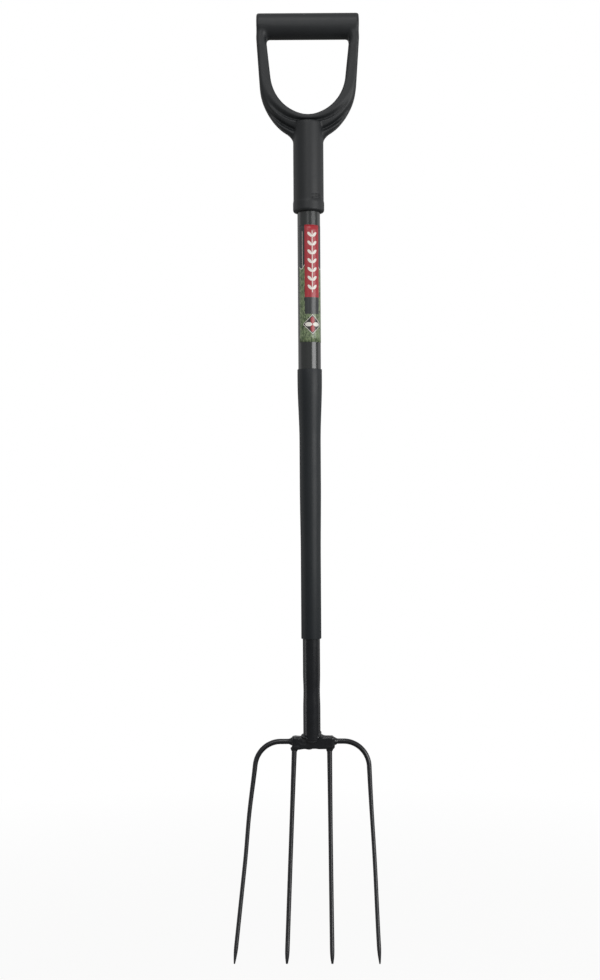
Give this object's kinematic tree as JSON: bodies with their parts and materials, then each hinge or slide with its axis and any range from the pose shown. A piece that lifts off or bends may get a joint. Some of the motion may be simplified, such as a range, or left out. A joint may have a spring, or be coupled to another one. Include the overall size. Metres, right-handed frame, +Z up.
{
  "type": "pitchfork",
  "caption": "Long handled fork: moulded D-grip, painted steel tube shaft with a soft sleeve, welded bridge and slim forward-curved tapering tines.",
  "frame": {"origin": "middle of the underside of the grip's crossbar, where a hook carries the fork", "axes": "+Z up along the shaft towards the grip, -Y the front, towards which the tines curve, +X to the right as seen from the front"},
  "size_m": [0.1793, 0.0903, 1.1749],
  "materials": {
    "grip_plastic": "matte moulded polypropylene with a fine texture",
    "zinc_steel": "dull zinc plating",
    "grey_paint": "satin dark grey powder coat",
    "printed_film": "glossy printed film in red, green and grey",
    "soft_sleeve": "matte soft PVC",
    "black_paint": "semi-gloss black paint",
    "weld_paint": "semi-gloss black paint over lumpy weld"
  },
  "bodies": {
    "root": {"d_grip": "grip_plastic", "grip_rivet": "zinc_steel", "upper_shaft": "grey_paint", "label": "printed_film", "shaft_sleeve": "soft_sleeve", "lower_shaft": "black_paint", "joint_pin": "zinc_steel", "bridge": "black_paint", "weld_shaft": "weld_paint", "tine_outer_left": "black_paint", "tine_outer_right": "black_paint", "tine_inner_left": "black_paint", "tine_inner_right": "black_paint", "weld_outer_left": "weld_paint", "weld_outer_right": "weld_paint", "weld_inner_left": "weld_paint", "weld_inner_right": "weld_paint"}
  },
  "joints": []
}
